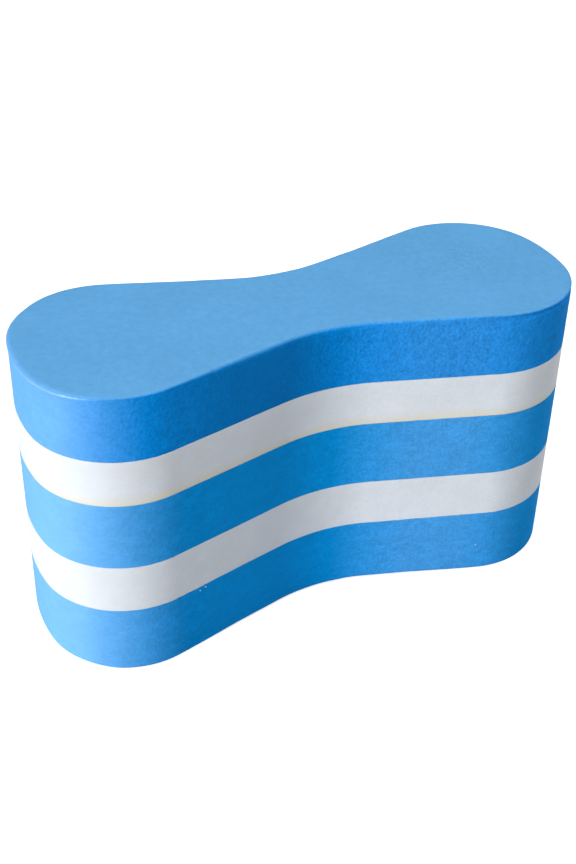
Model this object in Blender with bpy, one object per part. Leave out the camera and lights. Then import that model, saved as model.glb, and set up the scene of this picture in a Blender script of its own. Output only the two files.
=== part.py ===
"""Pull buoy: five sheets of closed-cell foam, glued face to face and cut to an hourglass outline.

Run it with blender --background --python part.py, or from Blender's text editor.
Metres, +Z up. The origin is at the middle of the underside. X runs along the length, Y runs
across the waist that the thighs grip, and Z runs up through the stack.
"""

import math

import bmesh
import bpy

# The hourglass outline. Each lobe has a blunt end between two rounder shoulders.
LENGTH = 0.2400  # over both lobes
LOBE_WIDTH = 0.0893  # across each lobe
END_RADIUS = 0.0795
SHOULDER_RADIUS = 0.0375
WAIST_WIDTH = 0.0531  # across the narrowest place
WAIST_RADIUS = 0.0785  # the hollow curve of each flank

# Edges in the arcs of a quarter of the outline
END_STEPS = 4
SHOULDER_STEPS = 26
WAIST_STEPS = 6

# Thickness of each foam sheet, from the underside up
BOTTOM_BLUE_THICKNESS = 0.0313
LOWER_WHITE_THICKNESS = 0.0214
MIDDLE_BLUE_THICKNESS = 0.0295
UPPER_WHITE_THICKNESS = 0.0195
TOP_BLUE_THICKNESS = 0.0276

# The glue between two sheets
GLUE_THICKNESS = 0.0003
GLUE_CLEARANCE = 0.0003  # between a film and the foam on each side of it
GLUE_INSET = 0.0004  # how far a film stops short of the walls

# The two outer rims are eased, and the edges inside the stack are left square
RIM_RADIUS = 0.0020
RIM_STEPS = 4

SMOOTH_BELOW = math.radians(30)  # edges sharper than this stay crisp

# Colours are linear red, green and blue
BLUE = (0.028, 0.245, 0.640)
WHITE = (0.820, 0.815, 0.790)
GLUE_YELLOW = (0.800, 0.760, 0.560)
FOAM_ROUGHNESS = 0.72
GLUE_ROUGHNESS = 0.45


def clear_scene():
    """Remove every object that the file opened with."""
    for item in list(bpy.data.objects):
        bpy.data.objects.remove(item, do_unlink=True)


def plain_material(name, colour, roughness):
    """A non-metallic material of one colour."""
    material = bpy.data.materials.new(name)
    material.use_nodes = True
    shader = material.node_tree.nodes["Principled BSDF"]
    shader.inputs["Base Color"].default_value = (*colour, 1.0)
    shader.inputs["Roughness"].default_value = roughness
    shader.inputs["Metallic"].default_value = 0.0
    return material


def arc(centre_x, centre_y, radius, start, end, steps):
    """Points along an arc, with both of its ends."""
    angles = [start + (end - start) * step / steps for step in range(steps + 1)]
    return [
        (centre_x + radius * math.cos(angle), centre_y + radius * math.sin(angle))
        for angle in angles
    ]


def quarter(inset):
    """The outline from the +X tip round to the middle of the waist, on the +Y side."""
    end_x = LENGTH / 2 - END_RADIUS
    flank_y = WAIST_WIDTH / 2 + WAIST_RADIUS

    # The end runs into a shoulder where one normal passes through the middles of both arcs.
    between_middles = END_RADIUS - SHOULDER_RADIUS
    shoulder_y = LOBE_WIDTH / 2 - SHOULDER_RADIUS
    end_turn = math.asin(shoulder_y / between_middles)
    shoulder_x = end_x + between_middles * math.cos(end_turn)

    # A straight tangent leaves the shoulder at this angle from +X and runs into the flank.
    towards_flank = math.atan2(flank_y - shoulder_y, -shoulder_x)
    to_flank = math.hypot(shoulder_x, flank_y - shoulder_y)
    leave = towards_flank - math.acos((SHOULDER_RADIUS + WAIST_RADIUS) / to_flank)

    end = arc(end_x, 0.0, END_RADIUS - inset, 0.0, end_turn, END_STEPS)
    shoulder = arc(
        shoulder_x, shoulder_y, SHOULDER_RADIUS - inset, end_turn, leave, SHOULDER_STEPS
    )
    flank = arc(0.0, flank_y, WAIST_RADIUS + inset, math.pi + leave, 1.5 * math.pi, WAIST_STEPS)
    return end + shoulder[1:] + flank


def hourglass(inset=0.0):
    """The outline, anticlockwise from the +X tip: two blunt lobes and two hollow flanks."""
    back_right = quarter(inset)
    back = back_right + [(-x, y) for x, y in reversed(back_right[:-1])]
    front = [(x, -y) for x, y in reversed(back[1:-1])]
    return back + front


def ease_rim(mesh, height):
    """Round the edge loop that lies at this height."""
    rim = [
        edge
        for edge in mesh.edges
        if all(math.isclose(corner.co.z, height, abs_tol=1e-6) for corner in edge.verts)
    ]
    bmesh.ops.bevel(
        mesh,
        geom=rim,
        offset=RIM_RADIUS,
        offset_type="OFFSET",
        segments=RIM_STEPS,
        profile=0.5,
        affect="EDGES",
    )


def slab(name, thickness, inset=0.0, eased_height=None):
    """A flat sheet of the outline, from its own z = 0 up, as a closed mesh."""
    mesh = bmesh.new()
    corners = [mesh.verts.new((x, y, 0.0)) for x, y in hourglass(inset)]
    underside = mesh.faces.new(corners)
    raised = bmesh.ops.extrude_face_region(
        mesh, geom=[underside], use_keep_orig=True
    )
    raised_corners = [
        item for item in raised["geom"] if isinstance(item, bmesh.types.BMVert)
    ]
    bmesh.ops.translate(mesh, verts=raised_corners, vec=(0.0, 0.0, thickness))
    if eased_height is not None:
        ease_rim(mesh, eased_height)
    bmesh.ops.recalc_face_normals(mesh, faces=mesh.faces)

    data = bpy.data.meshes.new(name)
    mesh.to_mesh(data)
    mesh.free()
    data.shade_smooth()
    data.set_sharp_from_angle(angle=SMOOTH_BELOW)
    return data


def place(name, data, material, height, stack):
    """Add a mesh to the stack at its height, under its node's name."""
    item = bpy.data.objects.new(name, data)
    item.data.materials.append(material)
    item.location.z = height
    item.parent = stack
    bpy.context.scene.collection.objects.link(item)


def foam_sheet(name, thickness, colour, height, stack, eased_height=None):
    """One sheet of foam."""
    data = slab(name, thickness, eased_height=eased_height)
    place(name, data, plain_material(name, colour, FOAM_ROUGHNESS), height, stack)


def glue_film(name, height, stack):
    """The glue in one seam."""
    data = slab(name, GLUE_THICKNESS, inset=GLUE_INSET)
    material = plain_material(name, GLUE_YELLOW, GLUE_ROUGHNESS)
    place(name, data, material, height, stack)


def build():
    """Stack the sheets from the underside up, with a film of glue in each seam."""
    stack = bpy.data.objects.new("pull_buoy", None)
    bpy.context.scene.collection.objects.link(stack)

    sheets = [
        ("bottom_blue_layer", BOTTOM_BLUE_THICKNESS, BLUE, 0.0),
        ("lower_white_layer", LOWER_WHITE_THICKNESS, WHITE, None),
        ("middle_blue_layer", MIDDLE_BLUE_THICKNESS, BLUE, None),
        ("upper_white_layer", UPPER_WHITE_THICKNESS, WHITE, None),
        ("top_blue_layer", TOP_BLUE_THICKNESS, BLUE, TOP_BLUE_THICKNESS),
    ]
    height = 0.0
    for seam, (name, thickness, colour, eased_height) in enumerate(sheets):
        if seam > 0:
            height += GLUE_CLEARANCE
            glue_film(f"glue_film_{seam}", height, stack)
            height += GLUE_THICKNESS + GLUE_CLEARANCE
        foam_sheet(name, thickness, colour, height, stack, eased_height)
        height += thickness


clear_scene()
build()
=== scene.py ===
"""Pull buoy: the foam, its skin and its glue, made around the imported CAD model.

Metres, +Z up, in the CAD model's frame: X along the length, Y across the waist, Z up through
the stack of foam sheets. A height is measured along Z, and a depth is measured into a surface.
"""

import math

import bmesh
import bpy
import numpy as np
from mathutils import Matrix, Vector, noise


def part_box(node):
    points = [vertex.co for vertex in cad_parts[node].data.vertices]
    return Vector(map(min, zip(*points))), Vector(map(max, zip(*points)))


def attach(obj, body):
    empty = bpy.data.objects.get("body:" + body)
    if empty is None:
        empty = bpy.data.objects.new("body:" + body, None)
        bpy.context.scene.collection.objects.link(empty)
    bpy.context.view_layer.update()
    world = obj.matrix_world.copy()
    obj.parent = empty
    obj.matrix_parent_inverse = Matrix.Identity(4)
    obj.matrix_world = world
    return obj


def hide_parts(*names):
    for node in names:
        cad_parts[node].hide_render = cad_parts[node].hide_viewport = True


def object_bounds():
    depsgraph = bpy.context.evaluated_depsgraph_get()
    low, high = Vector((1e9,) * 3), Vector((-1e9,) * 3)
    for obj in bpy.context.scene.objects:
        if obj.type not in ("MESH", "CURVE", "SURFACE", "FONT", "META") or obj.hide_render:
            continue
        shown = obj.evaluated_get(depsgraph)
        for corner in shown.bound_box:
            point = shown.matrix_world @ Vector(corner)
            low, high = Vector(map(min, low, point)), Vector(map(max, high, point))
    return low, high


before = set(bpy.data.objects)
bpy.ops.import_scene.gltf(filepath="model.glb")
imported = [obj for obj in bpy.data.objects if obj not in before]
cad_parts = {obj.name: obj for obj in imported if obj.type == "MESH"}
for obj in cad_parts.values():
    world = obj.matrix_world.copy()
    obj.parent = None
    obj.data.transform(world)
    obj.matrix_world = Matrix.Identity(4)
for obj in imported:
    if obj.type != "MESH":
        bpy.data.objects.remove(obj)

cad_low, cad_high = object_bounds()

MM = 0.001

# The outline of the foam: each lobe has a blunt end between two rounder shoulders, and each
# flank is hollow. The length and the width of the lobes come from the frame.
END_RADIUS = 79.5 * MM
SHOULDER_RADIUS = 37.5 * MM
WAIST_WIDTH = 53.1 * MM
WAIST_RADIUS = 78.5 * MM
sheet_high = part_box("middle_blue_layer")[1]
HALF_LENGTH = sheet_high.x
HALF_LOBE = sheet_high.y

# Where the middles of the arcs are, and where the end runs into a shoulder
END_X = HALF_LENGTH - END_RADIUS
SHOULDER_Y = HALF_LOBE - SHOULDER_RADIUS
END_TURN = math.asin(SHOULDER_Y / (END_RADIUS - SHOULDER_RADIUS))
SHOULDER_X = END_X + (END_RADIUS - SHOULDER_RADIUS) * math.cos(END_TURN)
FLANK_Y = WAIST_WIDTH / 2 + WAIST_RADIUS

# The eased rim of a skinned face is softer at the waist and the left tip than on the lobes, and
# its radius varies a little on the way round.
RIM_AT_WAIST = 2.0 * MM
RIM_AT_LOBES = 0.8 * MM
RIM_AT_LEFT = 1.7 * MM
LOBE_RIM_FROM = 0.3 * HALF_LENGTH
LOBE_RIM_FULL = 0.6 * HALF_LENGTH
LEFT_RIM_FROM = 0.80 * HALF_LENGTH
LEFT_RIM_FULL = 0.91 * HALF_LENGTH
RIM_VARIATION = 0.12
RIM_VARIATION_SIZE = 7 * MM
RIM_STEPS = 8

# The skin of the top face swells and sinks in broad waves.
SKIN_SWELL = 0.12 * MM
SKIN_SWELL_SIZE = 45 * MM

# The square edges inside the stack, and the glue between them
CUT_EDGE_RADIUS = 0.12 * MM
CUT_EDGE_STEPS = 2
GLUE_LINE = 0.12 * MM

# A seam sways slowly along the wall and jitters quickly, above all where it is nibbled. The
# shares are of the seam's own wander.
SWAY_SIZE = 22 * MM
SWAY_SHARE = 0.5
JITTER_SIZE = 2.6 * MM
JITTER_SHARE = 0.2
NIBBLE_SIZE = 9 * MM
NIBBLE_SHARE = 1.6
NIBBLED_ABOVE = 0.2

# The top skin stands a little proud at the left tip, and the cut bites in under it on the right
# front.
LIP_DEPTH = 1.4 * MM
LIP_SPREAD = 0.9 * MM
LIP_PROUD = 0.35 * MM
LIP_FROM = 0.86 * HALF_LENGTH
LIP_FULL = 0.98 * HALF_LENGTH
BITE_DEPTH = 1.6 * MM
BITE_SPREAD = 0.7 * MM
BITE_IN = 0.9 * MM
BITE_FROM = 0.48 * HALF_LENGTH
BITE_FULL = 0.66 * HALF_LENGTH
BITE_FRONT_FULL = 0.4 * HALF_LOBE

# A nick in the front top rim
NICK_X = -53.0 * MM
NICK_LENGTH = 0.9 * MM
NICK_DEPTH = 0.7 * MM

# The cut wall has broad waves, which run on through the whole stack, and each sheet's own grain
# and blade lines. A stretch under 1 draws the bumps out along that axis.
CUT_WAVE = 0.12 * MM
CUT_WAVE_SIZE = 30 * MM
CUT_WAVE_STRETCH = (1, 1, 0.5)
CUT_WAVE_SEED = 1
GRAIN_SIZE = 2.4 * MM
FINE_GRAIN_SIZE = 1.3 * MM
FINE_GRAIN_SHARE = 0.5
LINE_SIZE = 1.1 * MM
LINE_STRETCH = (0.05, 0.05, 1)

# How rough the blade left the wall: smoother at the left end and in the waist
SMOOTH_LEFT_SHARE = 0.4
SMOOTH_LEFT_FROM = -0.60 * HALF_LENGTH
SMOOTH_LEFT_FULL = -0.92 * HALF_LENGTH
SMOOTH_WAIST_SHARE = 0.5
SMOOTH_WAIST_X = -28 * MM
SMOOTH_WAIST_REACH = 42 * MM
SMOOTH_WAIST_CORE = 0.25 * SMOOTH_WAIST_REACH

# Surface mesh
FINE_STEP = 0.7 * MM
PLAIN_STEP = 0.9 * MM
SKIN_RINGS = 30
HIDDEN_RINGS = 2
WELD_DISTANCE = 0.001 * MM

# How far apart the noise is read for one seed and the next, in bumps
SEED_SHIFT = Vector((7.31, 3.17, 5.53))


def waves(points, size, seed, stretch=(1, 1, 1)):
    """Smooth noise at each point, about -1 to 1, with bumps of about this size."""
    shift = SEED_SHIFT * seed
    scaled = points * (np.array(stretch) / size)
    return np.array([noise.noise(Vector(point) + shift) for point in scaled.tolist()])


def on_floor(points):
    """The same points with no height, for noise that doesn't change up the wall."""
    return np.column_stack([points[:, :2], np.zeros(len(points))])


def smooth_step(values, start, end):
    """0 before start, 1 after end, and an S-shaped rise between them."""
    share = np.clip((values - start) / (end - start), 0, 1)
    return share * share * (3 - 2 * share)


def hump(values, middle, spread):
    """1 in the middle, falling away on both sides."""
    return np.exp(-(((values - middle) / spread) ** 2))


def mirrored(rows, flip, drop_last):
    """Rows with their mirror image after them, in reverse and without repeating the join."""
    reverse = rows[-2:0:-1] if drop_last else rows[-2::-1]
    return np.vstack([rows, reverse * np.array(flip)])


def arc(middle, radius, start, end, step):
    """Points along an arc, and the directions to them from its middle."""
    angles = np.linspace(start, end, round(abs(end - start) * radius / step) + 1)
    away = np.column_stack([np.cos(angles), np.sin(angles)])
    return np.array(middle) + radius * away, away


def outline(step):
    """Points on the outline, anticlockwise from the +X tip, and the way out of the foam there."""
    towards_flank = math.atan2(FLANK_Y - SHOULDER_Y, -SHOULDER_X)
    to_flank = math.hypot(SHOULDER_X, FLANK_Y - SHOULDER_Y)
    leave = towards_flank - math.acos((SHOULDER_RADIUS + WAIST_RADIUS) / to_flank)

    end, end_out = arc((END_X, 0), END_RADIUS, 0, END_TURN, step)
    middle = (SHOULDER_X, SHOULDER_Y)
    shoulder, shoulder_out = arc(middle, SHOULDER_RADIUS, END_TURN, leave, step)
    flank, flank_in = arc((0, FLANK_Y), WAIST_RADIUS, math.pi + leave, 1.5 * math.pi, step)

    span = flank[0] - shoulder[-1]
    share = np.linspace(0, 1, round(np.hypot(*span) / step) + 1)[1:-1, None]
    straight = shoulder[-1] + share * span
    straight_out = np.tile(shoulder_out[-1], (len(straight), 1))

    points = np.vstack([end[:-1], shoulder, straight, flank])
    outs = np.vstack([end_out[:-1], shoulder_out, straight_out, -flank_in])
    points = mirrored(mirrored(points, (-1, 1), False), (1, -1), True)
    outs = mirrored(mirrored(outs, (-1, 1), False), (1, -1), True)
    return points, outs


def spine_under(points):
    """The nearest point of a line down the middle, from lobe to lobe."""
    along = np.clip(points[:, 0], -SHOULDER_X, SHOULDER_X)
    return np.column_stack([along, np.zeros(len(points))])


class Seam:
    """One glued joint: its height, and how it wanders where it meets the wall."""

    steps = CUT_EDGE_STEPS
    rings = HIDDEN_RINGS
    skinned = False

    def __init__(self, film, seed, wander):
        low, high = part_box(film)
        self.film = film
        self.height = (low.z + high.z) / 2
        self.seed = seed
        self.wander = wander

    def radius(self, points):
        """How far the edge is rounded at each point."""
        return np.full(len(points), CUT_EDGE_RADIUS)

    def at_wall(self, points):
        """The seam's height where it meets the wall."""
        flat = on_floor(points)
        sway = SWAY_SHARE * waves(flat, SWAY_SIZE, self.seed)
        jitter = waves(flat, JITTER_SIZE, self.seed + 1)
        nibbled = np.clip(waves(flat, NIBBLE_SIZE, self.seed + 2) - NIBBLED_ABOVE, 0, 1)
        return self.height + self.wander * (sway + jitter * (JITTER_SHARE + NIBBLE_SHARE * nibbled))

    def inside(self, points):
        """The seam's height inside the foam, where it is flat."""
        return np.full(len(points), self.height)


class Skin:
    """One skinned outer face: its height, and how the skin rises and falls."""

    steps = RIM_STEPS
    rings = SKIN_RINGS
    skinned = True

    def __init__(self, height, seed, swell, nicked):
        self.height = height
        self.seed = seed
        self.swell = swell
        self.nicked = nicked

    def radius(self, points):
        """How far the rim is rounded at each point."""
        lobes = smooth_step(np.abs(points[:, 0]), LOBE_RIM_FROM, LOBE_RIM_FULL)
        radius = RIM_AT_WAIST + (RIM_AT_LOBES - RIM_AT_WAIST) * lobes
        left = smooth_step(-points[:, 0], LEFT_RIM_FROM, LEFT_RIM_FULL)
        radius = radius + (RIM_AT_LEFT - RIM_AT_LOBES) * left
        variation = RIM_VARIATION * waves(on_floor(points), RIM_VARIATION_SIZE, self.seed + 1)
        radius = radius * (1 + variation)
        if self.nicked:
            front = points[:, 1] < 0
            radius = radius + NICK_DEPTH * front * hump(points[:, 0], NICK_X, NICK_LENGTH)
        return radius

    def inside(self, points):
        """The skin's height."""
        return self.height + self.swell * waves(on_floor(points), SKIN_SWELL_SIZE, self.seed)

    at_wall = inside


def corner(face, points):
    """(depth below the face, inset from the wall, skinned share), from the face to the wall."""
    radius = face.radius(points)
    turns = np.linspace(0, math.pi / 2, face.steps + 1)
    return [
        (
            radius * (1 - math.cos(turn)),
            radius * (1 - math.sin(turn)),
            float(face.skinned) * (1 - turn / (math.pi / 2)),
        )
        for turn in turns
    ]


def lip(depth, points):
    """How far the wall stands out, this far below the top face."""
    at_left_tip = smooth_step(-points[:, 0], LIP_FROM, LIP_FULL)
    at_right_lobe = smooth_step(points[:, 0], BITE_FROM, BITE_FULL)
    at_front = smooth_step(-points[:, 1], 0.0, BITE_FRONT_FULL)
    proud = LIP_PROUD * hump(depth, LIP_DEPTH, LIP_SPREAD)
    bite = BITE_IN * hump(depth, BITE_DEPTH, BITE_SPREAD)
    return at_left_tip * proud - at_right_lobe * at_front * bite


def roughness_at(x):
    """How rough the cut is at each place along the length, up to 1."""
    left = smooth_step(x, SMOOTH_LEFT_FULL, SMOOTH_LEFT_FROM)
    left = SMOOTH_LEFT_SHARE + (1 - SMOOTH_LEFT_SHARE) * left
    away = np.abs(x - SMOOTH_WAIST_X)
    waist = smooth_step(away, SMOOTH_WAIST_CORE, SMOOTH_WAIST_REACH)
    waist = SMOOTH_WAIST_SHARE + (1 - SMOOTH_WAIST_SHARE) * waist
    return np.minimum(left, waist)


class Foam:
    """One sheet of foam: its faces, its cut wall and the mesh for both."""

    def __init__(self, node, low_face, high_face, step, grain, lines, seed):
        self.node = node
        self.low_face = low_face
        self.high_face = high_face
        self.step = step
        self.grain = grain
        self.lines = lines
        self.seed = seed
        self.points, self.outs = outline(step)
        self.spine = spine_under(self.points)

    def cap(self, face, shift):
        """Rings over one face, from its rim in to the spine, without the rim itself."""
        edge = self.points - self.outs * face.radius(self.points)[:, None]
        rings = []
        for ring in range(1, face.rings + 1):
            flat = edge + (self.spine - edge) * (ring / face.rings)
            rings.append(np.column_stack([flat, face.inside(flat) + shift]))
        return rings

    def relief(self, ring, plain_share):
        """How far the cut wall stands out at each point of one ring."""
        cut = CUT_WAVE * waves(ring, CUT_WAVE_SIZE, CUT_WAVE_SEED, CUT_WAVE_STRETCH)
        grain = waves(ring, GRAIN_SIZE, self.seed)
        grain = grain + FINE_GRAIN_SHARE * waves(ring, FINE_GRAIN_SIZE, self.seed + 1)
        lines = waves(ring, LINE_SIZE, self.seed + 2, LINE_STRETCH)
        rough = roughness_at(ring[:, 0])
        return cut + plain_share * (self.grain * rough * grain + self.lines * lines)

    def wall(self, low_shift, high_shift):
        """Rings up the wall, and the skinned share of each."""
        low = self.low_face.at_wall(self.points) + low_shift
        high = self.high_face.at_wall(self.points) + high_shift
        low_corner = corner(self.low_face, self.points)
        high_corner = corner(self.high_face, self.points)

        rows = [(low + depth, inset, skin) for depth, inset, skin in low_corner]
        start = low + low_corner[-1][0]
        end = high - high_corner[-1][0]
        count = round(float(np.mean(end - start)) / self.step)
        for row in range(1, count):
            rows.append((start + (end - start) * (row / count), 0.0, 0.0))
        rows += [(high - depth, inset, skin) for depth, inset, skin in reversed(high_corner)]

        rings = []
        for level, inset, skin in rows:
            ring = np.column_stack([self.points, level])
            out = self.relief(ring, 1 - skin) - inset
            if self.high_face.skinned:
                out = out + lip(high - level, self.points)
            ring[:, :2] += self.outs * out[:, None]
            rings.append(ring)
        return rings, [skin for level, inset, skin in rows]

    def make(self):
        """The mesh object, with how skinned and how high up its sheet each point is."""
        low_shift = 0 if self.low_face.skinned else GLUE_LINE / 2
        high_shift = 0 if self.high_face.skinned else -GLUE_LINE / 2
        under = self.cap(self.low_face, low_shift)[::-1]
        wall, wall_skins = self.wall(low_shift, high_shift)
        over = self.cap(self.high_face, high_shift)
        rings = np.array(under + wall + over)
        skins = [float(self.low_face.skinned)] * len(under) + wall_skins
        skins += [float(self.high_face.skinned)] * len(over)

        data = grid_mesh(self.node + "_foam", rings)
        add_attribute(data, "skin", np.repeat(skins, len(self.points)))
        above = rings[:, :, 2].ravel() - np.tile(wall[0][:, 2], len(rings))
        add_attribute(data, "above_seam", above / MM)
        close_spine(data)
        return ride_as(data, self.node)


def grid_mesh(name, rings):
    """A mesh over rings of points, open only where the end rings fold onto the spine."""
    ring_count, columns = rings.shape[:2]
    here = np.arange(columns)
    following = np.roll(here, -1)
    quad = np.column_stack([here, following, following + columns, here + columns])
    faces = np.vstack([quad + ring * columns for ring in range(ring_count - 1)])
    data = bpy.data.meshes.new(name)
    data.from_pydata(rings.reshape(-1, 3).tolist(), [], faces.tolist())
    return data


def add_attribute(data, name, values):
    """A number at each point of a mesh, for its material to read."""
    attribute = data.attributes.new(name, "FLOAT", "POINT")
    attribute.data.foreach_set("value", np.asarray(values, np.float32))


def close_spine(data):
    """Weld the points that the folded end rings share."""
    mesh = bmesh.new()
    mesh.from_mesh(data)
    bmesh.ops.remove_doubles(mesh, verts=mesh.verts, dist=WELD_DISTANCE)
    mesh.to_mesh(data)
    mesh.free()
    data.shade_smooth()


def ride_as(data, name_of_node):
    """Show a mesh in place of one CAD node, on the one body that there is."""
    piece = bpy.data.objects.new(data.name, data)
    bpy.context.scene.collection.objects.link(piece)
    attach(piece, "root")
    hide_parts(name_of_node)
    return piece


# The glue stops just inside the walls, and a few flecks of it have dried on the wall below.
GLUE_SHY = 0.06 * MM
GLUE_WANDER = 0.05 * MM
GLUE_WANDER_SIZE = 6 * MM
GLUE_EDGE_HALF = GLUE_LINE / 2 - 0.01 * MM  # half the gap between two sheets, less a hair
GLUE_EDGE_STEPS = 6
GLUE_CORE_HALF = GLUE_LINE / 3
GLUE_CORE_INSET = 2.0 * MM
FLECK_SIZE = (0.42 * MM, 0.20 * MM, 0.32 * MM)  # half its width, thickness and height


def add_flecks(data, seam, flecks):
    """Lumps of glue half sunk in the front wall, each at this x and this far below the seam."""
    points, outs = outline(PLAIN_STEP)
    points, outs = points[points[:, 1] < 0], outs[points[:, 1] < 0]
    mesh = bmesh.new()
    mesh.from_mesh(data)
    for x, drop in flecks:
        nearest = np.argmin(np.abs(points[:, 0] - x))
        place = Matrix.Translation((*points[nearest], seam.height - drop))
        turn = Matrix.Rotation(math.atan2(-outs[nearest, 0], outs[nearest, 1]), 4, "Z")
        size = Matrix.Diagonal((*FLECK_SIZE, 1))
        bmesh.ops.create_icosphere(mesh, subdivisions=2, radius=1, matrix=place @ turn @ size)
    mesh.to_mesh(data)
    mesh.free()
    data.shade_smooth()


def glue_piece(seam, flecks):
    """The thin line of glue in one seam, and its flecks."""
    points, outs = outline(PLAIN_STEP)
    reach = GLUE_WANDER * waves(on_floor(points), GLUE_WANDER_SIZE, seam.seed + 5) - GLUE_SHY

    rings = []
    for turn in np.linspace(-math.pi / 2, math.pi / 2, GLUE_EDGE_STEPS + 1):
        out = reach - GLUE_EDGE_HALF * (1 - math.cos(turn))
        level = seam.at_wall(points) + GLUE_EDGE_HALF * math.sin(turn)
        rings.append(np.column_stack([points + outs * out[:, None], level]))
    for side in (-1, 1):
        level = np.full(len(points), seam.height + side * GLUE_CORE_HALF)
        inner = np.column_stack([points - outs * GLUE_CORE_INSET, level])
        core = np.column_stack([spine_under(points), level])
        rings = [core, inner] + rings if side < 0 else rings + [inner, core]
    data = grid_mesh("glue_line_" + seam.film[-1], np.array(rings))
    close_spine(data)
    add_flecks(data, seam, flecks)
    return ride_as(data, seam.film)


# Materials. Colours are linear red, green and blue.
BLUE_DEEP = (0.000, 0.284, 0.850)
# Painted sheen: a paler cut colour that stands in for the sheen where the light falls strongest
BLUE_PAINTED_SHEEN = (0.148, 0.435, 0.900)
BLUE_DEEP_LOW = (0.000, 0.322, 0.840)  # the two lower blue sheets, which are paler
# Painted sheen of the two lower blue sheets
BLUE_PAINTED_SHEEN_LOW = (0.195, 0.510, 0.965)
# The blue skin's colour is partly its own paler tone and partly a painted sheen, the white
# surroundings' reflection on the top face
BLUE_SKIN_AND_SHEEN = (0.158, 0.522, 0.975)
WHITE_CUT = (0.800, 0.850, 0.910)
STAIN = (0.840, 0.780, 0.590)
GLUE = (0.620, 0.760, 0.860)

# Painted sheen: the cut blue foam is painted paler all round the left end, and partly in a stretch
# on the right, where the lights fall strongest on it.
PAINTED_SHEEN_LEFT_FULL = -111 * MM
PAINTED_SHEEN_LEFT_POWER = 1.5
PAINTED_SHEEN_RIGHT_X = 50 * MM
PAINTED_SHEEN_RIGHT_REACH = 46 * MM
PAINTED_SHEEN_RIGHT_CORE = 0.25 * PAINTED_SHEEN_RIGHT_REACH
TOP_PAINTED_SHEEN = (-81 * MM, 0.20)  # where the left stretch begins, and the most on the right
LOW_PAINTED_SHEEN = (-66 * MM, 0.34)

# Painted shade: the cut of the top sheet is painted darker in the waist, where its hollow flanks
# get less light.
WAIST_X = -30 * MM
WAIST_REACH = 46 * MM
WAIST_CORE = 0.3 * WAIST_REACH
WAIST_SHADE_TONE = 0.76

# Nearly all of a noise texture lies in the wide range, and most of it in the narrow one.
WIDE = (0.3, 0.7)
NARROW = (0.35, 0.65)
NOISE_MIDDLE = 0.5

# The cut's pores, grain and blade lines as the materials draw them, and how deep their bumps are
PORE_SIZE = 1.5 * MM
PORE_RANGE = (0.15, 0.75)
PORE_DEPTH = 0.06 * MM
FINE_SIZE = 1.0 * MM
FINE_DEPTH = 0.17 * MM
MEDIUM_SIZE = 2.8 * MM
BLADE_LINE_SIZE = 0.9 * MM
BLADE_LINE_STRETCH = (0.10, 0.10, 1)
BLADE_LINE_DEPTH = 0.06 * MM

# How much lighter and darker they make the cut, times its mottle, and how much blotches do
FINE_TONE = 1.4
MEDIUM_TONE = 0.9
PORE_TONE = 0.3
BLOTCH_SIZE = 14 * MM
BLOTCH_TONE = 0.02

# The yellowed foam: how high the stain reaches in mm, and how faint it gets in patches
STAIN_REACH = (3.0, 6.0)
STAIN_EDGE_SIZE = 5 * MM
STAIN_EDGE_STRETCH = (1, 1, 0.2)
STAIN_PATCH_SIZE = 40 * MM
STAIN_FAINTEST = 0.55

# The skin: broad greasy marks, speckles, pebbles and one patch of fine creases
GREASE_SIZE = 30 * MM
GREASE_TONE = (0.975, 1.02)
SPECKLE_SIZE = 3.0 * MM
SPECKLE_TONE = 0.045
PEBBLE_SIZE = 2.2 * MM
PEBBLE_DEPTH = 0.11 * MM
CREASE_SIZE = 5.0 * MM
CREASE_STRETCH = (1, 1.8, 1)
CREASE_WIDTH = 0.04  # as a share of the noise's whole range
CREASE_DEPTH = 0.09 * MM
CREASED_PLACE = (74 * MM, 6 * MM, cad_high.z)
CREASED_REACH = 30 * MM
CREASED_CORE = 0.4 * CREASED_REACH

# How skinned the rim has to be, from 0 at the cut wall to 1 at the flat face: for the skin's
# colour and bumps, for its roughness, and for the shine to pass from the cut to the rim and from
# the rim to the face
SKINNED_LOOK = (0.35, 0.95)
SKINNED_ROUGHNESS = (0.03, 0.30)
RIM_BEGINS = (0.0, 0.25)
RIM_ENDS = (0.75, 1.0)

# How rough the foam is to the light, and how strongly it shines. The rim has a polished stretch
# round the left end.
CUT_ROUGHNESS = (0.60, 0.78)
SKIN_ROUGHNESS = (0.28, 0.35)
CUT_SHINE = 0.05
SKIN_SHINE = 0.60
DULL_RIM = 0.10
SHINY_RIM = 1.0
SHINY_RIM_FULL = -109 * MM
SHINY_RIM_END = -97 * MM

# Dried glue
GLUE_CLOUD_SIZE = 2 * MM
GLUE_SHADE = 0.85
GLUE_ROUGHNESS = (0.35, 0.55)
GLUE_DEPTH = 0.05 * MM


def node(tree, kind, inputs=None, **settings):
    """Add a shader node. An input is a value, or another node's output to link."""
    made = tree.nodes.new("ShaderNode" + kind)
    for name, value in settings.items():
        setattr(made, name, value)
    for name, value in (inputs or {}).items():
        if isinstance(value, bpy.types.NodeSocket):
            tree.links.new(value, made.inputs[name])
        else:
            made.inputs[name].default_value = value
    return made


def maths(tree, operation, first, second=0.0):
    """The output of one sum."""
    return node(tree, "Math", {0: first, 1: second}, operation=operation).outputs[0]


def noise_at(tree, place, size, detail=2.0, stretch=(1, 1, 1)):
    """Noise of about this bump size, in metres, from 0 to 1."""
    scale = tuple(axis / size for axis in stretch)
    moved = node(tree, "Mapping", {"Vector": place, "Scale": scale}).outputs[0]
    return node(tree, "TexNoise", {"Vector": moved, "Scale": 1.0, "Detail": detail}).outputs[0]


def cells_at(tree, place, size):
    """Distance to the nearest cell's middle, in cells of about this size."""
    return node(tree, "TexVoronoi", {"Vector": place, "Scale": 1.0 / size}).outputs[0]


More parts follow.
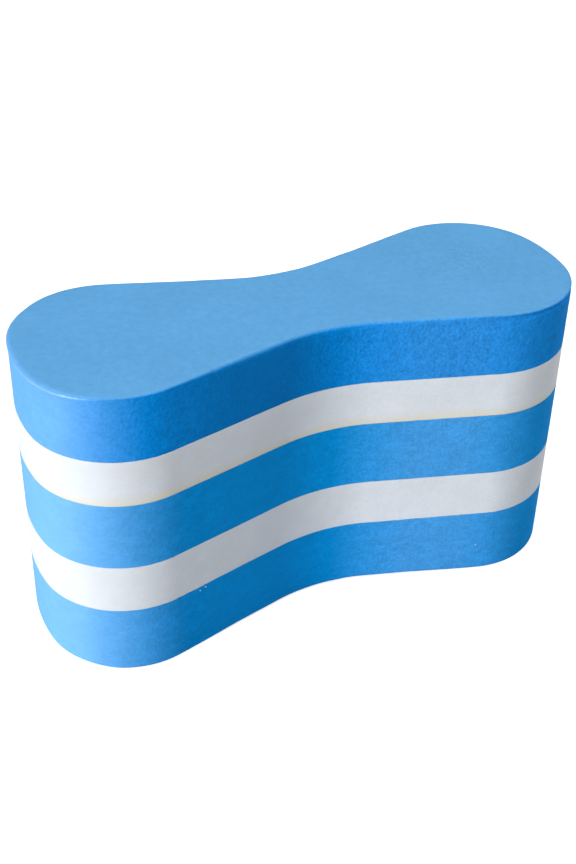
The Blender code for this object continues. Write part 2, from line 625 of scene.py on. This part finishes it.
def remap(tree, value, low, high, to_low=0.0, to_high=1.0):
    """Stretch a value from one range to another, and hold it there."""
    inputs = {0: value, 1: low, 2: high, 3: to_low, 4: to_high}
    return node(tree, "MapRange", inputs, clamp=True).outputs[0]


def between(tree, share, first, second):
    """Mix two numbers or outputs."""
    inputs = {0: share, 2: first, 3: second}
    return node(tree, "Mix", inputs, data_type="FLOAT").outputs[0]


def blend(tree, share, first, second):
    """Mix two colours. A colour is three numbers or an output."""
    made = node(tree, "Mix", data_type="RGBA", clamp_factor=True)
    for index, value in {0: share, 6: first, 7: second}.items():
        if isinstance(value, bpy.types.NodeSocket):
            tree.links.new(value, made.inputs[index])
        elif index == 0:
            made.inputs[index].default_value = value
        else:
            made.inputs[index].default_value = (*value, 1.0)
    return made.outputs[2]


def tint(tree, colour, amount):
    """Multiply a colour by an output."""
    grey = node(tree, "CombineColor", {0: amount, 1: amount, 2: amount}).outputs[0]
    made = node(tree, "Mix", data_type="RGBA", blend_type="MULTIPLY")
    made.inputs[0].default_value = 1.0
    tree.links.new(colour, made.inputs[6])
    tree.links.new(grey, made.inputs[7])
    return made.outputs[2]


def shade(colour, amount):
    """A colour made brighter or darker."""
    return tuple(min(1.0, channel * amount) for channel in colour)


def new_material(name):
    """A material, its tree, its main shader and the place on the object."""
    material = bpy.data.materials.new(name)
    material.use_nodes = True
    tree = material.node_tree
    place = node(tree, "TexCoord").outputs["Object"]
    return material, tree, tree.nodes["Principled BSDF"], place


def bump_chain(tree, layers):
    """Bumps laid over each other. A layer is its height and its depth in metres."""
    normal = None
    for height, depth in layers:
        inputs = {"Height": height, "Distance": depth, "Strength": 1.0}
        if normal is not None:
            inputs["Normal"] = normal
        normal = node(tree, "Bump", inputs).outputs[0]
    return normal


def x_of(tree, place):
    """How far along the buoy the place is."""
    return node(tree, "SeparateXYZ", {0: place}).outputs["X"]


def distance_in_x(tree, place, middle):
    """How far the place is from one in the length of the buoy."""
    return maths(tree, "ABSOLUTE", maths(tree, "SUBTRACT", x_of(tree, place), middle))


def painted_sheen_share(tree, place, left_from, right_share):
    """How much painted sheen the cut foam has, from 0 to 1."""
    left = remap(tree, x_of(tree, place), left_from, PAINTED_SHEEN_LEFT_FULL)
    left = maths(tree, "POWER", left, PAINTED_SHEEN_LEFT_POWER)
    away = distance_in_x(tree, place, PAINTED_SHEEN_RIGHT_X)
    right = remap(tree, away, PAINTED_SHEEN_RIGHT_CORE, PAINTED_SHEEN_RIGHT_REACH, right_share, 0.0)
    return maths(tree, "MAXIMUM", left, right)


def painted_waist_shade(tree, place):
    """Painted shade: how dark the cut is painted in the waist of the top sheet, and 1 elsewhere."""
    away = distance_in_x(tree, place, WAIST_X)
    return remap(tree, away, WAIST_CORE, WAIST_REACH, WAIST_SHADE_TONE, 1.0)


def cut_roughness(tree, place):
    """How rough the cut is, up to 1, as on the mesh."""
    along = x_of(tree, place)
    left = remap(tree, along, SMOOTH_LEFT_FULL, SMOOTH_LEFT_FROM, SMOOTH_LEFT_SHARE, 1.0)
    away = distance_in_x(tree, place, SMOOTH_WAIST_X)
    waist = remap(tree, away, SMOOTH_WAIST_CORE, SMOOTH_WAIST_REACH, SMOOTH_WAIST_SHARE, 1.0)
    return maths(tree, "MINIMUM", left, waist)


def cut_tone(tree, place, pores, fine, strength, along_cut):
    """How light and dark the cut foam is, from its pores up to its blotches."""
    medium = noise_at(tree, place, MEDIUM_SIZE, stretch=along_cut)
    blotch = noise_at(tree, place, BLOTCH_SIZE, detail=3.0)
    spots = remap(tree, fine, *WIDE, -FINE_TONE, FINE_TONE)
    spots = maths(tree, "ADD", spots, remap(tree, medium, *WIDE, -MEDIUM_TONE, MEDIUM_TONE))
    spots = maths(tree, "ADD", spots, remap(tree, pores, 0.0, 1.0, PORE_TONE, -PORE_TONE))
    spots = maths(tree, "MULTIPLY", spots, strength)
    blotches = remap(tree, blotch, *NARROW, 1 - BLOTCH_TONE, 1 + BLOTCH_TONE)
    return maths(tree, "ADD", spots, blotches)


def stained(tree, place, cut, strength):
    """Cut foam that has yellowed just above the seam it stands on."""
    above = node(tree, "Attribute", attribute_name="above_seam").outputs["Fac"]
    edge = noise_at(tree, place, STAIN_EDGE_SIZE, detail=3.0, stretch=STAIN_EDGE_STRETCH)
    faded = maths(tree, "DIVIDE", above, remap(tree, edge, *WIDE, *STAIN_REACH))
    share = remap(tree, faded, 0.0, 1.0, strength, 0.0)
    patch = noise_at(tree, place, STAIN_PATCH_SIZE)
    patchy = remap(tree, patch, *NARROW, STAIN_FAINTEST, 1.0)
    return blend(tree, maths(tree, "MULTIPLY", share, patchy), cut, STAIN)


def cut_bumps(tree, place, is_skin, roughness, pores, fine, grain):
    """The cut's pores, its fine grain and the lines that the blade left."""
    on_cut = maths(tree, "SUBTRACT", 1.0, is_skin)
    rough_cut = maths(tree, "MULTIPLY", on_cut, roughness)
    lines = noise_at(tree, place, BLADE_LINE_SIZE, detail=3.0, stretch=BLADE_LINE_STRETCH)
    return [
        (maths(tree, "MULTIPLY", pores, rough_cut), grain * PORE_DEPTH),
        (maths(tree, "MULTIPLY", fine, rough_cut), grain * FINE_DEPTH),
        (maths(tree, "MULTIPLY", lines, on_cut), grain * BLADE_LINE_DEPTH),
    ]


def skin_bumps(tree, place, is_skin):
    """The skin's fine pebbles, and the faint creases of its one creased patch."""
    pebbles = noise_at(tree, place, PEBBLE_SIZE, detail=3.0)
    creases = noise_at(tree, place, CREASE_SIZE, stretch=CREASE_STRETCH)
    crease = maths(tree, "ABSOLUTE", maths(tree, "SUBTRACT", creases, NOISE_MIDDLE))
    away = node(tree, "VectorMath", {0: place, 1: CREASED_PLACE}, operation="DISTANCE")
    patch = remap(tree, away.outputs["Value"], CREASED_CORE, CREASED_REACH, 1.0, 0.0)
    creased = maths(tree, "MULTIPLY", remap(tree, crease, 0.0, CREASE_WIDTH), patch)
    return [
        (maths(tree, "MULTIPLY", pebbles, is_skin), PEBBLE_DEPTH),
        (maths(tree, "MULTIPLY", creased, is_skin), CREASE_DEPTH),
    ]


def foam_shine(tree, place, skin):
    """How strongly the foam shines: on the cut, round the rim and on the skin."""
    along = x_of(tree, place)
    rim = remap(tree, along, SHINY_RIM_END, SHINY_RIM_FULL, DULL_RIM, SHINY_RIM)
    rim = between(tree, remap(tree, skin, *RIM_BEGINS), CUT_SHINE, rim)
    return between(tree, remap(tree, skin, *RIM_ENDS), rim, SKIN_SHINE)


def skin_tone(tree, place, colour, grease):
    """The skin's colour, with its greasy marks and its speckles."""
    dull, bright = [shade(colour, amount) for amount in GREASE_TONE]
    tone = blend(tree, remap(tree, grease, *NARROW), dull, bright)
    speckle = noise_at(tree, place, SPECKLE_SIZE, detail=3.0)
    return tint(tree, tone, remap(tree, speckle, *WIDE, 1 - SPECKLE_TONE, 1 + SPECKLE_TONE))


def foam_material(name, colours, painted_sheen_places, grain, mottle, streak, stain=0.0, paint_waist_shade=False):
    """Cut foam on the walls, and the moulded skin where the mesh says it is skinned.

    The grain is how deep the cut's bumps are, and the mottle how uneven its colour is. The lower
    the streak, the longer both are drawn out along the blade's way.
    """
    material, tree, shader, place = new_material(name)
    deep, sheen_colour, skin_and_sheen_colour = colours
    skin = node(tree, "Attribute", attribute_name="skin").outputs["Fac"]
    is_skin = remap(tree, skin, *SKINNED_LOOK)
    along_cut = (streak, streak, 1)
    pores = remap(tree, cells_at(tree, place, PORE_SIZE), *PORE_RANGE)
    fine = noise_at(tree, place, FINE_SIZE, detail=3.0, stretch=along_cut)
    grease = noise_at(tree, place, GREASE_SIZE, detail=4.0)
    roughness = cut_roughness(tree, place)

    # Painted sheen: the cut is blended towards its paler colour where the light falls strongest
    cut = blend(tree, painted_sheen_share(tree, place, *painted_sheen_places), deep, sheen_colour)
    # Painted shade in the waist of the top sheet
    if paint_waist_shade:
        cut = tint(tree, cut, painted_waist_shade(tree, place))
    strength = maths(tree, "MULTIPLY", roughness, mottle)
    cut = tint(tree, cut, cut_tone(tree, place, pores, fine, strength, along_cut))
    if stain:
        cut = stained(tree, place, cut, stain)
    # The skin colour is partly a painted sheen
    whole = blend(tree, is_skin, cut, skin_tone(tree, place, skin_and_sheen_colour, grease))
    tree.links.new(whole, shader.inputs["Base Color"])

    cut_rough = remap(tree, fine, *WIDE, *CUT_ROUGHNESS)
    skin_rough = remap(tree, grease, *WIDE, *SKIN_ROUGHNESS)
    rough = between(tree, remap(tree, skin, *SKINNED_ROUGHNESS), cut_rough, skin_rough)
    tree.links.new(rough, shader.inputs["Roughness"])

    layers = cut_bumps(tree, place, is_skin, roughness, pores, fine, grain)
    layers += skin_bumps(tree, place, is_skin)
    tree.links.new(bump_chain(tree, layers), shader.inputs["Normal"])
    tree.links.new(foam_shine(tree, place, skin), shader.inputs["Specular IOR Level"])
    return material


def glue_material():
    """Dried glue: pale, and a little shinier than the foam."""
    material, tree, shader, place = new_material("dried_glue")
    cloud = noise_at(tree, place, GLUE_CLOUD_SIZE, detail=3.0)
    colour = blend(tree, remap(tree, cloud, *NARROW), shade(GLUE, GLUE_SHADE), GLUE)
    tree.links.new(colour, shader.inputs["Base Color"])
    tree.links.new(remap(tree, cloud, *WIDE, *GLUE_ROUGHNESS), shader.inputs["Roughness"])
    tree.links.new(bump_chain(tree, [(cloud, GLUE_DEPTH)]), shader.inputs["Normal"])
    return material


# Stage. The floor shows brighter to the camera than the light it throws back on the object.
WHITE = (1, 1, 1, 1)
FLOOR_HALF = 6.0
FLOOR_DARKER = (0.93, 0.93, 0.93)
FLOOR_PALER = (0.97, 0.97, 0.97)
FLOOR_CLOUD_SIZE = 300 * MM
FLOOR_ROUGHNESS = 0.9
FLOOR_BOUNCE = 0.59
FLOOR_GLOW = 0.65
FAR_FLOOR_GLOW = 1.0  # where the lights don't reach
GLOW_RISES_FROM = 0.8
GLOW_RISES_TO = 3.0
WORLD_LIGHT = 0.07

# The lights face the middle from one distance. Each has a name, a turn from the front towards +X
# and a rise from the floor in degrees, a size in metres and a power in watts.
MIDDLE = (0.0, 0.0, 0.07)
LIGHT_DISTANCE = 4.0
LIGHTS = (
    ("key", -67, 15, 1.85, 148.0),
    ("side", -115, 15, 1.85, 25.0),
    ("rim", 90, 20, 1.85, 68.0),
    ("overhead", 0, 89, 2.15, 61.0),
)

CAMERA_PLACE = (-0.19103, -0.40435, 0.37528)
CAMERA_AIM = (-0.00563, 0.0, 0.09505)
CAMERA_ROLL = math.radians(1.342)
CAMERA_LENS = 51.642
CAMERA_SHIFT_Y = -0.060
SENSOR_WIDTH = 36.0


def bright_to_camera(tree, dimmer, brighter):
    """One shader for the light that falls on the object, and a brighter one for what is seen."""
    seen = node(tree, "LightPath").outputs["Is Camera Ray"]
    return node(tree, "MixShader", {0: seen, 1: dimmer, 2: brighter}).outputs[0]


def add_floor():
    """A plain pale floor under the buoy."""
    data = bpy.data.meshes.new("floor")
    corners = [(-FLOOR_HALF, -FLOOR_HALF, 0), (FLOOR_HALF, -FLOOR_HALF, 0)]
    corners += [(FLOOR_HALF, FLOOR_HALF, 0), (-FLOOR_HALF, FLOOR_HALF, 0)]
    data.from_pydata(corners, [], [(0, 1, 2, 3)])
    floor = bpy.data.objects.new("floor", data)
    bpy.context.scene.collection.objects.link(floor)
    material, tree, shader, place = new_material("pale_floor")
    cloud = noise_at(tree, place, FLOOR_CLOUD_SIZE, detail=3.0)
    colour = blend(tree, cloud, FLOOR_DARKER, FLOOR_PALER)
    tree.links.new(colour, shader.inputs["Base Color"])
    shader.inputs["Roughness"].default_value = FLOOR_ROUGHNESS
    shader.inputs["Emission Color"].default_value = WHITE
    away = node(tree, "VectorMath", {0: place}, operation="LENGTH").outputs["Value"]
    glow = remap(tree, away, GLOW_RISES_FROM, GLOW_RISES_TO, FLOOR_GLOW, FAR_FLOOR_GLOW)
    tree.links.new(glow, shader.inputs["Emission Strength"])
    bounce = node(tree, "BsdfDiffuse", {"Color": (FLOOR_BOUNCE, FLOOR_BOUNCE, FLOOR_BOUNCE, 1)})
    both = bright_to_camera(tree, bounce.outputs[0], shader.outputs[0])
    tree.links.new(both, tree.nodes["Material Output"].inputs["Surface"])
    data.materials.append(material)


def add_softbox(name, turn, rise, size, power):
    """A soft square light that faces the middle of the object."""
    turn, rise = math.radians(turn), math.radians(rise)
    away = Vector((math.sin(turn), -math.cos(turn), 0)) * math.cos(rise)
    away.z = math.sin(rise)
    data = bpy.data.lights.new(name, "AREA")
    data.shape = "SQUARE"
    data.size = size
    data.energy = power
    light = bpy.data.objects.new(name, data)
    light.location = Vector(MIDDLE) + away * LIGHT_DISTANCE
    light.rotation_mode = "QUATERNION"
    light.rotation_quaternion = away.to_track_quat("Z", "Y")
    bpy.context.scene.collection.objects.link(light)


def add_world():
    """White surroundings, dimmer as light than they look."""
    world = bpy.data.worlds.new("studio")
    world.use_nodes = True
    tree = world.node_tree
    lit = tree.nodes["Background"]
    lit.inputs["Color"].default_value = WHITE
    lit.inputs["Strength"].default_value = WORLD_LIGHT
    seen = node(tree, "Background", {"Color": WHITE, "Strength": 1.0})
    both = bright_to_camera(tree, lit.outputs[0], seen.outputs[0])
    tree.links.new(both, tree.nodes["World Output"].inputs["Surface"])
    bpy.context.scene.world = world


def add_camera():
    """A camera that looks down on the waist from the front left."""
    data = bpy.data.cameras.new("camera")
    data.lens = CAMERA_LENS
    data.sensor_width = SENSOR_WIDTH
    data.shift_y = CAMERA_SHIFT_Y
    camera = bpy.data.objects.new("camera", data)
    look = Vector(CAMERA_AIM) - Vector(CAMERA_PLACE)
    turn = look.to_track_quat("-Z", "Y").to_matrix().to_4x4()
    roll = Matrix.Rotation(CAMERA_ROLL, 4, "Z")
    camera.matrix_world = Matrix.Translation(CAMERA_PLACE) @ turn @ roll
    bpy.context.scene.collection.objects.link(camera)
    bpy.context.scene.camera = camera


# The cut walls: how deep the grain and the blade lines of each sheet are
TOP_WALL = (0.080 * MM, 0.010 * MM)
MIDDLE_WALL = (0.050 * MM, 0.030 * MM)
BOTTOM_WALL = (0.040 * MM, 0.025 * MM)
WHITE_WALL = (0.015 * MM, 0.008 * MM)

# Flecks of glue on the front wall: where each one is along X, and how far below the lowest seam
FLECKS = ((-61.4 * MM, 2.0 * MM), (-58.9 * MM, 1.5 * MM), (70.1 * MM, 18.0 * MM))

# The materials: the deep, painted-sheen and skinned colours of each, the blue skin's partly a
# painted sheen too.
# The white foam has one colour, so its painted sheen doesn't show.
TOP_BLUES = (BLUE_DEEP, BLUE_PAINTED_SHEEN, BLUE_SKIN_AND_SHEEN)
LOW_BLUES = (BLUE_DEEP_LOW, BLUE_PAINTED_SHEEN_LOW, BLUE_SKIN_AND_SHEEN)
WHITES = (WHITE_CUT, WHITE_CUT, WHITE_CUT)

# The grain, mottle and streak of each cut
TOP_CUT = (1.8, 0.095, 0.65)
LOW_CUT = (1.35, 0.076, 0.40)
PALE_CUT = (0.35, 0.015, 0.6)
STAIN_STRENGTH = 0.95


def show(foam, material):
    """Make one sheet and dress it."""
    piece = foam.make()
    piece.data.materials.append(material)


def build_foam(seams):
    """The five sheets, from the underside up."""
    underside = Skin(cad_low.z, seed=51, swell=0.0, nicked=False)
    top = Skin(cad_high.z, seed=61, swell=SKIN_SWELL, nicked=True)
    top_blue = foam_material("top_blue", TOP_BLUES, TOP_PAINTED_SHEEN, *TOP_CUT, paint_waist_shade=True)
    blue = foam_material("blue_foam", LOW_BLUES, LOW_PAINTED_SHEEN, *LOW_CUT)
    white = foam_material("white_foam", WHITES, LOW_PAINTED_SHEEN, *PALE_CUT)
    yellowed = foam_material("yellowed_foam", WHITES, LOW_PAINTED_SHEEN, *PALE_CUT, stain=STAIN_STRENGTH)

    bottom = Foam("bottom_blue_layer", underside, seams[0], PLAIN_STEP, *BOTTOM_WALL, seed=3)
    show(bottom, blue)
    lower = Foam("lower_white_layer", seams[0], seams[1], PLAIN_STEP, *WHITE_WALL, seed=5)
    show(lower, white)
    middle = Foam("middle_blue_layer", seams[1], seams[2], PLAIN_STEP, *MIDDLE_WALL, seed=7)
    show(middle, blue)
    upper = Foam("upper_white_layer", seams[2], seams[3], PLAIN_STEP, *WHITE_WALL, seed=9)
    show(upper, yellowed)
    highest = Foam("top_blue_layer", seams[3], top, FINE_STEP, *TOP_WALL, seed=13)
    show(highest, top_blue)


def build_glue(seams):
    """The four lines of glue."""
    glue = glue_material()
    for seam in seams:
        piece = glue_piece(seam, FLECKS if seam is seams[0] else ())
        piece.data.materials.append(glue)


def build():
    """The whole buoy."""
    seams = [
        Seam("glue_film_1", seed=11, wander=0.40 * MM),
        Seam("glue_film_2", seed=21, wander=0.14 * MM),
        Seam("glue_film_3", seed=31, wander=0.14 * MM),
        Seam("glue_film_4", seed=41, wander=0.16 * MM),
    ]
    build_foam(seams)
    build_glue(seams)


build()
add_floor()
add_world()
for light in LIGHTS:
    add_softbox(*light)
add_camera()
bpy.context.scene.view_settings.view_transform = "Standard"
